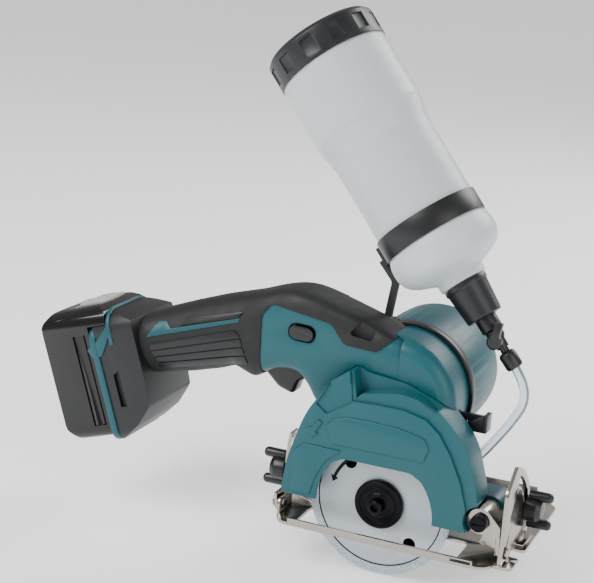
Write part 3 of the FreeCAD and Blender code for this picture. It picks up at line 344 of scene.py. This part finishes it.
def settle(obj):
    # applies the modifiers of a piece to its mesh
    graph = bpy.context.evaluated_depsgraph_get()
    mesh = bpy.data.meshes.new_from_object(obj.evaluated_get(graph))
    obj.modifiers.clear()
    obj.data = mesh
    return obj


def carve(obj, *tools):
    # boolean of the piece with each (operation, cutter); the cutters are used up
    for operation, cutter in tools:
        step = obj.modifiers.new("carve", "BOOLEAN")
        step.operation = operation
        step.solver = "EXACT"
        step.object = cutter
        settle(obj)
        bpy.data.objects.remove(cutter)
    return obj


def eased(obj, width, segments=2, angle=32):
    # rounds the edges sharper than that angle
    work = bmesh.new()
    work.from_mesh(obj.data)
    bmesh.ops.dissolve_limit(work, angle_limit=math.radians(1.5), verts=work.verts, edges=work.edges)
    work.to_mesh(obj.data)
    work.free()
    step = obj.modifiers.new("easedEdges", "BEVEL")
    step.width = width * mm
    step.segments = segments
    step.limit_method = "ANGLE"
    step.angle_limit = math.radians(angle)
    step.use_clamp_overlap = True
    step.harden_normals = False
    return obj


def copied(node):
    # a merged copy of a CAD node's mesh, as a new piece
    mesh = frame["nodes"][node].data.copy()
    obj = bpy.data.objects.new(node + "Piece", mesh)
    bpy.context.collection.objects.link(obj)
    work = bmesh.new()
    work.from_mesh(mesh)
    bmesh.ops.remove_doubles(work, verts=work.verts, dist=2e-6)
    work.to_mesh(mesh)
    work.free()
    return obj


def easedPiece(obj, width, name, material, body, replaced=(), segments=2, limit=40, angle=50):
    # eases the edges of a piece that is complete, and finishes it
    return finishObject(settle(eased(obj, width, segments, limit)), name, material, body, replaced, angle)


bodyOf = {node: body for body, nodes in frame["record"]["behaviour"]["bodies"].items() for node in nodes}


def dressed(node, material, ease=0.0, name=None, angle=32, segments=2):
    # a CAD node redrawn with its edges eased
    obj = copied(node)
    if ease:
        settle(eased(obj, ease, segments, angle))
    return finishObject(obj, name or node + "Piece", material, bodyOf[node], [node], angle=40)


# Handle
handleSet = {
    "top": [(-158, 91.5), (-140, 98.5), (-122, 105.5), (-104, 111.8), (-85, 117.2), (-72, 121.5), (-60, 123.8),
            (-48, 122.6), (-30, 117.6), (-12, 112), (8, 105)],
    "bottom": [(-158, 56), (-140, 60.6), (-122, 64.4), (-105, 69.2), (-95, 72.8), (-89, 71.6), (-82, 69.8),
               (-76, 72.8), (-66, 77.2), (-55, 77.2), (-48, 71), (-42, 62.5), (-30, 56), (8, 56)],
    "rear": -157.5, "front": 6, "middle": 18.0, "half": 17.9, "stations": 150, "around": 96,
    "squareAt": [-150, -95, -70, -30], "square": [0.86, 0.8, 0.5, 0.36],
    "flareFrom": -134, "flareRun": 22, "flareHeight": 5.5,
    "guardLine": [(-53.4, 16, 2), (54.5, 16, 2), (56.2, 33, 40), (47.5, 62, 40), (31, 78, 30), (10, 86, 20),
                  (-12, 88.5), (-18, 91, 2), (-29, 83, 3), (-42, 63, 60), (-51, 35, 60)],
    "guardGap": 0.3, "guardRoom": (-20, 9.02),
    "drumRadius": 35.02, "drumHeight": 73.6, "drumRoom": (8.9, 50),
    "band": [(-38, 40), (12, 40), (12, 130), (-38, 130)], "bandRoom": (28, 40),
    "trigger": [(-84, 50), (-47, 50), (-47, 85), (-84, 85)], "triggerRoom": (11.6, 24.4),
    "grip": [(-175, 40), (-75.6, 40), (-75.8, 108.5, 7), (-70.5, 115.6, 5), (-35.5, 110.4, 7), (-27.5, 100.4, 5),
             (-9, 99.4, 3), (6, 113.5), (9, 140), (-175, 140)],
    "pocket": [(-25.4, 106.2, 1.5), (-12.2, 104.6, 1.5), (-9.4, 113.6, 2), (-18.4, 115.8, 2)],
    "pocketFloor": 4.2, "pocketGap": 0.8,
    "panel": [(-84, 40), (12, 40), (12, 125), (-84, 125)], "panelDepth": 0.55,
    "buttonSlot": [(-61.4, 97.9, 4.5), (-45.2, 97.2, 4.5), (-42.4, 107, 4.5), (-58.6, 107.8, 4.5)],
    "button": [(-60, 99.1, 3.8), (-46.2, 98.4, 3.8), (-43.4, 105.8, 3.8), (-57.8, 106.6, 3.8)],
    "buttonFace": -0.7,
    "accent": [(-145.2, 83.8), (-89.5, 102.0, 0.4), (-88.4, 104.4, 0.4), (-131, 91.0, 1.5), (-134.6, 94.2, 1),
               (-139.8, 93.2, 1)],
    "accentHeight": 0.5,
    "rise": [(-125, 93.6), (-89.6, 104.6, 0.5), (-87.4, 108, 0.5), (-121.5, 98.6, 1)], "riseHeight": 0.6,
}


def handleForm(name, extra):
    # station by station along x: y = middle + half*c(angle), z = centre + height*s(angle), where c and s
    # are cosine and sine raised to a power that squares the section towards the front; extra grows it
    top = smoothLine(handleSet["top"])
    bottom = smoothLine(handleSet["bottom"])
    x = np.linspace(handleSet["rear"], handleSet["front"], handleSet["stations"])
    high = np.interp(x, top[:, 0], top[:, 1]) + extra
    low = np.interp(x, bottom[:, 0], bottom[:, 1]) - extra
    power = np.interp(x, handleSet["squareAt"], handleSet["square"])[:, None]
    flare = np.clip((handleSet["flareFrom"] - x) / handleSet["flareRun"], 0, 1) ** 2
    flare = flare * handleSet["flareHeight"]
    half = (handleSet["half"] + flare + extra)[:, None]
    angle = np.linspace(0, 2 * np.pi, handleSet["around"], endpoint=False)[None, :]
    c, s = np.cos(angle), np.sin(angle)
    y = handleSet["middle"] + half * np.sign(c) * np.abs(c) ** power
    z = ((high + low) / 2)[:, None] + ((high - low) / 2)[:, None] * np.sign(s) * np.abs(s) ** power
    return tube(name, np.stack([np.broadcast_to(x[:, None], y.shape), y, z], axis=-1))


def grown(outline, amount):
    # every point of an outline moved out from its middle
    away = outline - outline.mean(axis=0)
    return outline + away / np.linalg.norm(away, axis=1)[:, None] * amount


def acrossHandle(name, outline):
    # a cutter that reaches past both sides of the handle
    return prism(name, outline, -10, 50)


def housingRooms():
    # the spaces that the handle leaves for the guard, the gear case, the band and the trigger
    guard = grown(rounded(handleSet["guardLine"]), handleSet["guardGap"])
    near, far = handleSet["drumRoom"]
    radius = handleSet["drumRadius"]
    centre = (0, near, handleSet["drumHeight"])
    drum = lathe("drumRoom", [(radius, 0), (radius, far - near)], centre, (0, 1, 0), 128)
    rooms = [prism("guardRoom", guard, *handleSet["guardRoom"]), drum,
             prism("bandRoom", handleSet["band"], *handleSet["bandRoom"]),
             prism("triggerSlot", handleSet["trigger"], *handleSet["triggerRoom"])]
    return [("DIFFERENCE", room) for room in rooms]


def gripSkin():
    skin = handleForm("gripSkin", 0)
    carve(skin, ("INTERSECT", acrossHandle("gripRegion", rounded(handleSet["grip"]))), *housingRooms())
    pocket = prism("gripPocket", rounded(handleSet["pocket"]), -5, handleSet["pocketFloor"])
    carve(skin, ("DIFFERENCE", pocket))
    easedPiece(skin, 0.5, "gripSkin", "rubber", "saw", ["handle_grip"])


def handlePanel():
    panel = handleForm("motorHandlePanel", -handleSet["panelDepth"])
    slot = prism("lockOffSlot", rounded(handleSet["buttonSlot"]), -5, 5)
    pocket = prism("pocketRoom", grown(rounded(handleSet["pocket"]), handleSet["pocketGap"]), -5, 6)
    carve(panel, ("INTERSECT", acrossHandle("panelRegion", rounded(handleSet["panel"]))), *housingRooms(),
          ("DIFFERENCE", slot), ("DIFFERENCE", pocket))
    easedPiece(panel, 0.3, "handlePanel", "teal", "saw", ["housing_near", "housing_far"])
    button = prism("lockOffButton", rounded(handleSet["button"]), handleSet["buttonFace"], 6)
    easedPiece(button, 1.4, "lockOffButton", "gloss", bodyOf["lock_off_button"], ["lock_off_button"],
               segments=3)


def handleAccent():
    # the coloured strip along the grip, and the black rise above it
    strip = handleForm("accentStrip", handleSet["accentHeight"])
    carve(strip, ("INTERSECT", acrossHandle("accentRegion", rounded(handleSet["accent"]))))
    easedPiece(strip, 0.25, "accentStrip", "tealRim", "saw", ["grip_accent"])
    rise = handleForm("accentRise", handleSet["riseHeight"])
    carve(rise, ("INTERSECT", acrossHandle("riseRegion", rounded(handleSet["rise"]))))
    easedPiece(rise, 0.25, "accentRise", "blackNylon", "saw")


ribSet = {
    "gap": 0.8, "height": 0.55, "lean": 0.2,
    "left": [(-143.2, 80.6), (-142.0, 76.4), (-140.8, 72.8), (-139.2, 69.4), (-137.4, 65.8)],
    "right": [(-91.5, 97.6), (-87.6, 93.4), (-86.4, 88.6), (-84.8, 83.8), (-82.8, 78.6)],
}


def gripBands():
    # shallow bands below the accent strip, with narrow grooves between them
    left, right, gap, lean = ribSet["left"], ribSet["right"], ribSet["gap"] / 2, ribSet["lean"]
    for k in range(len(left) - 1):
        a, b = left[k], left[k + 1]
        c, d = right[k], right[k + 1]
        outline = rounded([(b[0] + lean, b[1] + gap, 0.8), (d[0], d[1] + gap, 0.8), (c[0], c[1] - gap, 1.2),
                           (a[0] + lean, a[1] - gap, 1.2)])
        name = "gripBand%d" % (k + 1)
        band = handleForm(name, ribSet["height"])
        carve(band, ("INTERSECT", acrossHandle("bandRegion", outline)))
        easedPiece(band, 0.3, name, "blackNylon", "saw")


gripSkin()
handlePanel()
handleAccent()
gripBands()
print("handle ready")


# Gear case and guard
def gearCase():
    easedPiece(copied("gear_housing"), 1.4, "gearCase", "teal", "saw", ["gear_housing"], segments=3, angle=45)


guardSet = {
    "step": [(32.8, 66), (39.5, 56), (46.2, 42), (50, 29), (51, 15), (70, 15), (70, 110), (-20.6, 110),
             (-16.4, 74.6), (-4, 75.2), (12.7, 75.2), (25, 72.4)],
    "channel": [(-26, 89), (-19.4, 90), (-14.6, 74.4, 1.5), (-18.5, 72.2, 2), (-29.7, 64.8, 2), (-36, 69.4)],
    "panel": [(-29, 59.4, 1), (-25.6, 49.4, 1.5), (25.6, 49.4, 1.5), (28.2, 57.6, 1.5), (25, 62.6, 2),
              (12, 65.2, 40), (-4, 65.8, 40), (-18, 65.4, 4), (-25.4, 63.4, 1)],
    "arrow": [(-37.6, 50.2), (-33.4, 53.2), (-35.2, 54.2), (-31.4, 60), (-34, 61.6), (-37.6, 55.8),
              (-39.6, 56.4)],
    "apron": [(-47.4, 18, 2), (-36.4, 18, 1), (-33.8, 28, 12), (-28.4, 39, 10), (-20, 46.2), (-42, 46.4, 5.5),
              (-47.6, 41, 5)],
    "outside": -14, "stepFloor": -9.9, "channelFloor": -10.7, "raised": -12.9, "buried": -11,
}


def guardPieces():
    guard = copied("wheel_guard")
    outside = guardSet["outside"]
    step = prism("guardStep", guardSet["step"], outside, guardSet["stepFloor"])
    channel = prism("guardChannel", rounded(guardSet["channel"]), outside, guardSet["channelFloor"])
    carve(guard, ("DIFFERENCE", step), ("DIFFERENCE", channel))
    easedPiece(guard, 1.3, "wheelGuard", "teal", "saw", ["wheel_guard"], segments=3, limit=38, angle=48)
    for part in ("panel", "arrow", "apron"):
        name = "guard" + part.capitalize()
        relief = prism(name, rounded(guardSet[part]), guardSet["raised"], guardSet["buried"])
        easedPiece(relief, 0.5, name, "teal", "saw")


gearCase()
guardPieces()
print("case and guard ready")


# Water bottle, turned about its own axis
bottleSet = {
    "centre": (0, 35, 167.6), "axis": (-0.6395, 0.1026, 0.7619),
    "outer": [(8, -57.9), (8, -40.6), (12.6, -40.5), (13.4, -38.6), (13.6, -36), (16.5, -34.4), (22.5, -32),
              (27.4, -28.6), (29.8, -23.6), (30.1, -18), (29.2, -13.4), (28.5, -11.6), (28.4, -6), (28.4, 20),
              (28.5, 42), (28.9, 46.5), (30.2, 52.5), (31, 57.5), (31.2, 62), (31.2, 94.6), (30.6, 96),
              (29.6, 96.2), (29.6, 107.5)],
    "inner": [(28.1, 107.5), (28.1, 97), (29.6, 92), (29.6, 62), (28.8, 53), (27, 46), (26.9, -10), (28, -18),
              (26, -27), (20, -31.2), (12, -34.6), (6.6, -38), (6.5, -57.9)],
}


def bottle():
    # the outer wall from neck to mouth, then the inner wall back down, turned as one profile
    profile = np.vstack([smoothLine(bottleSet["outer"], 4), smoothLine(bottleSet["inner"], 3)])
    body = lathe("waterBottle", profile, bottleSet["centre"], bottleSet["axis"], 128)
    finishObject(body, "waterBottle", "bottle", "saw", ["water_bottle"], 60)


def hose():
    # the route's points are those of the part; the spline rounds them off
    route = [(55.3, 26.1, 101.7), (63.4, 25.6, 92.3), (66.8, 25, 80), (61, 23.4, 68.2), (53.9, 21, 57.4),
             (46.8, 18.2, 47.6), (40.6, 14.9, 40.8)]
    line = bpy.data.curves.new("waterHose", "CURVE")
    line.dimensions = "3D"
    line.bevel_depth = 2.5 * mm
    line.bevel_resolution = 8
    line.resolution_u = 16
    line.use_fill_caps = True
    spline = line.splines.new("NURBS")
    spline.points.add(len(route) - 1)
    for spot, place in zip(spline.points, route):
        spot.co = (*point(*place), 1)
    spline.order_u = 3
    spline.use_endpoint_u = True
    obj = bpy.data.objects.new("waterHose", line)
    bpy.context.collection.objects.link(obj)
    line.materials.append(paint["vinyl"])
    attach(obj, "saw")
    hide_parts("water_hose")


bottle()
hose()
print("bottle and hose ready")


# Foot and battery, drawn level in their own frame and then tilted with the handle
footSet = {
    "place": (-172, 18, 60), "tilt": -18.0,
    "footSection": [(-24.8, -42, 7), (24.8, -42, 7), (24.8, 33.2, 12), (-24.8, 33.2, 12)],
    "caseSection": [(-24.5, -39, 7), (24.5, -39, 7), (24.5, 37.4, 11), (-24.5, 37.4, 11)],
    "rimOuter": [(-25.8, -41.4, 7), (25.8, -41.4, 7), (25.8, 27.4, 11), (-25.8, 27.4, 11)],
    "rimInner": [(-23.2, -37.6, 5), (23.2, -37.6, 5), (23.2, 25, 10), (-23.2, 25, 10)],
    "archOuter": [(-25.5, 14), (25.5, 14), (25.5, 34.2, 12), (-25.5, 34.2, 12)],
    "archInner": [(-23.6, 12), (23.6, 12), (23.6, 32.2, 11), (-23.6, 32.2, 11)],
    "brace": [(-3.4, 13.4, 1), (-0.6, 8, 1), (5.6, 8.6, 2), (14.6, 21.8), (12.2, 24.6), (4, 17.4, 3)],
    "label": [(-19.4, 2, 1.5), (-5.4, 5.6, 1.5), (-6.4, 24.8, 1.5), (-18.6, 23.4, 1.5)],
    "rimReach": (-0.4, 3.6), "archReach": (12.2, 14.8), "braceReach": (-25.7, -24.2),
    "labelReach": (-31.3, -30.4),
    "grooveX": -7.2, "grooveY": -25.8, "grooveRadius": 4.4, "grooveReach": (-31, 22),
}
footTilt = Matrix.Rotation(math.radians(footSet["tilt"]), 4, "Y")
footPlace = Matrix.Translation(point(*footSet["place"])) @ footTilt


def footAcross(name, outline, low, high):
    # an outline of (y, z) points in the foot's frame, straight from x = low to x = high
    return prism(name, rounded(outline), -high, -low, footPlace @ Matrix.Rotation(math.radians(90), 4, "Z"))


def footPieces():
    foot = copied("battery_foot")
    carve(foot, ("INTERSECT", footAcross("footSection", footSet["footSection"], -15, 40)))
    easedPiece(foot, 2.2, "batteryFoot", "footNylon", "saw", ["battery_foot"], segments=4, limit=38, angle=48)
    rim = footAcross("footRim", footSet["rimOuter"], *footSet["rimReach"])
    carve(rim, ("DIFFERENCE", footAcross("rimInner", footSet["rimInner"], -2, 5)))
    easedPiece(rim, 0.5, "footRim", "tealRim", "saw", ["foot_rim"])
    arch = footAcross("footArch", footSet["archOuter"], *footSet["archReach"])
    carve(arch, ("DIFFERENCE", footAcross("archInner", footSet["archInner"], 11, 16)))
    easedPiece(arch, 0.5, "footArch", "tealRim", "saw")
    brace = prism("footBrace", rounded(footSet["brace"]), *footSet["braceReach"], footPlace)
    easedPiece(brace, 0.5, "footBrace", "tealRim", "saw")


def batteryPieces():
    case = copied("battery_case")
    radius = footSet["grooveRadius"]
    low, high = footSet["grooveReach"]
    foot = (footSet["grooveX"], footSet["grooveY"], 0)
    groove = lathe("batteryGroove", [(radius, low), (radius, high)], foot, (0, 0, 1), 48)
    groove.data.transform(footPlace)
    section = footAcross("caseSection", footSet["caseSection"], -33, 14)
    carve(case, ("INTERSECT", section), ("DIFFERENCE", groove))
    easedPiece(case, 1.8, "batteryCase", "gloss", "battery", ["battery_case"], segments=3, limit=38, angle=48)
    label = footAcross("batteryLabel", footSet["label"], *footSet["labelReach"])
    easedPiece(label, 0.1, "batteryLabel", "label", "battery", segments=1)


footPieces()
batteryPieces()
print("foot and battery ready")


# Marks on the wheel: the thin line where the rim begins, and an arc that shows which way it turns
wheelSet = {
    "height": 17, "face": -0.7, "sunk": 0.3,
    "line": 35.2, "lineInside": 0.35, "lineOutside": 0.25, "lineHeight": 0.26,
    "arrowInner": 27.6, "arrowOuter": 29.4, "arrowFirst": 104, "arrowLast": 160,
    "headLength": 7, "headFlare": 1.4, "arrowHeight": 0.04, "arrowSunk": 0.2,
}


def onWheel(radius, angle):
    # the (x, z) points at that radius and those angles round the spindle
    return np.column_stack([radius * np.cos(angle), wheelSet["height"] + radius * np.sin(angle)])


def wheelMarks():
    line, face = wheelSet["line"], wheelSet["face"]
    inside, outside = line - wheelSet["lineInside"], line + wheelSet["lineOutside"]
    back, front = face + wheelSet["sunk"], face - wheelSet["lineHeight"]
    ring = lathe("rimLine", [(inside, back), (inside, front), (outside, front), (outside, back)],
                 (0, 0, wheelSet["height"]), (0, 1, 0), 128)
    finishObject(ring, "rimLine", "oxide", "wheel", angle=50)
    low, high, flare = wheelSet["arrowInner"], wheelSet["arrowOuter"], wheelSet["headFlare"]
    last = wheelSet["arrowLast"]
    turns = np.radians(np.linspace(wheelSet["arrowFirst"], last, 24))
    head = np.radians([last, last + wheelSet["headLength"], last])
    tip = onWheel(np.array([high + flare, (low + high) / 2, low - flare]), head)
    outline = np.vstack([onWheel(high, turns), tip, onWheel(low, turns)[::-1]])
    arrow = prism("turnArrow", outline, face - wheelSet["arrowHeight"], face + wheelSet["arrowSunk"])
    finishObject(arrow, "turnArrow", "oxide", "wheel", angle=50)


wheelMarks()
for node, name in (("bevel_screw", "bevelWingScrew"), ("depth_screw", "depthWingScrew")):
    dressed(node, "blackNylon", 0.7, name, angle=35, segments=3)
print("wheel marks and wing screws ready")


# Every other piece keeps its CAD form, with its edges eased
finishes = {
    "battery_button": ("grey", 0.5), "trigger": ("blackNylon", 2.2),
    "shaft_lock": ("blackPlate", 0.3), "motor_housing": ("teal", 0.5), "clamp_band": ("strap", 0.4),
    "fill_cap": ("cap", 0.5), "neck_cap": ("cap", 0.25), "cock_body": ("blackNylon", 0.3),
    "cock_lever": ("blackNylon", 0.6), "hose_sleeve": ("blackNylon", 0.4), "water_nozzle": ("blackNylon", 0.3),
    "strap_band": ("strap", 0.3), "strap_buckle": ("strap", 0.3), "tank_arm": ("strap", 0.4),
    "base_plate": ("nickel", 0.35), "bevel_quadrant": ("nickel", 0.4), "front_holder": ("nickel", 0.4),
    "depth_guide": ("nickel", 0.3), "bevel_rivets": ("nickel", 0.25), "front_pin": ("oxide", 0.3),
    "outer_flange": ("oxide", 0.3), "flange_bolt": ("oxide", 0.3), "inner_flange": ("ground", 0.2),
    "wheel_disc": ("wheel", 0), "wheel_rim": ("rim", 0.15), "housing_screws": ("zinc", 0.2),
}
for node, (material, ease) in finishes.items():
    dressed(node, material, ease)
print("eased pieces ready")

inner = {
    "spindle": "ground", "spindle_gear": "cut", "counter_shaft": "cut", "counter_gear": "cut",
    "spindle_front_bearing": "ground", "spindle_rear_bearing": "ground", "counter_bearings": "ground",
    "motor_bearings": "ground", "motor_shaft": "ground", "rotor_core": "copper", "commutator": "copper",
    "cooling_fan": "blackNylon", "stator": "cut", "brush_holder": "blackNylon", "motor_plate": "blackNylon",
    "switch_body": "blackNylon", "terminal_block": "blackNylon", "cap_gasket": "rubber", "battery_cells": "zinc",
}
for node, material in inner.items():
    kept = frame["nodes"][node]
    kept.data.materials.clear()
    kept.data.materials.append(paint[material])
print("inner pieces ready")


# Floor and light
stageSet = {
    "floor": -24.0, "reach": 6000, "tone": "#F4F5F6", "glow": 0.55, "sky": 0.5, "backdrop": 1.6,
    "target": (-0.04, 0.02, 0.12),
    "lights": {  # place in metres, size in metres, power in watts
        "keyLight": ((-0.75, -0.9, 1.15), 0.9, 26),
        "fillLight": ((1.2, -0.7, 0.6), 1.0, 8),
        "rimLight": ((0.5, 1.1, 0.9), 0.8, 14),
    },
}


def areaLight(name, place, size, power):
    lamp = bpy.data.lights.new(name, "AREA")
    lamp.shape = "SQUARE"
    lamp.size = size
    lamp.energy = power
    obj = bpy.data.objects.new(name, lamp)
    bpy.context.collection.objects.link(obj)
    obj.location = Vector(place)
    obj.rotation_euler = (Vector(stageSet["target"]) - Vector(place)).to_track_quat("-Z", "Y").to_euler()


def stage():
    reach, level = stageSet["reach"], stageSet["floor"]
    corners = [(-reach, -reach, level), (reach, -reach, level), (reach, reach, level), (-reach, reach, level)]
    floor = meshObject("floor", corners, [(0, 1, 2, 3)])
    made, _, shader = newMaterial("paleFloor", stageSet["tone"], Roughness=0.9)
    shader.inputs["Emission Color"].default_value = linear(stageSet["tone"])
    shader.inputs["Emission Strength"].default_value = stageSet["glow"]
    floor.data.materials.append(made)
    for name, (place, size, power) in stageSet["lights"].items():
        areaLight(name, place, size, power)
    world = bpy.data.worlds.new("studio")
    world.use_nodes = True
    # the sky that lights the cutter is dimmer than the backdrop that the camera sees
    ray = addNode(world.node_tree, "ShaderNodeLightPath")
    limits = {"To Min": stageSet["sky"], "To Max": stageSet["backdrop"]}
    choice = addNode(world.node_tree, "ShaderNodeMapRange", limits, {"Value": ray.outputs["Is Camera Ray"]})
    sky = world.node_tree.nodes["Background"]
    sky.inputs["Color"].default_value = linear("#FFFFFF")
    world.node_tree.links.new(choice.outputs["Result"], sky.inputs["Strength"])
    bpy.context.scene.world = world


stage()
print("stage ready")
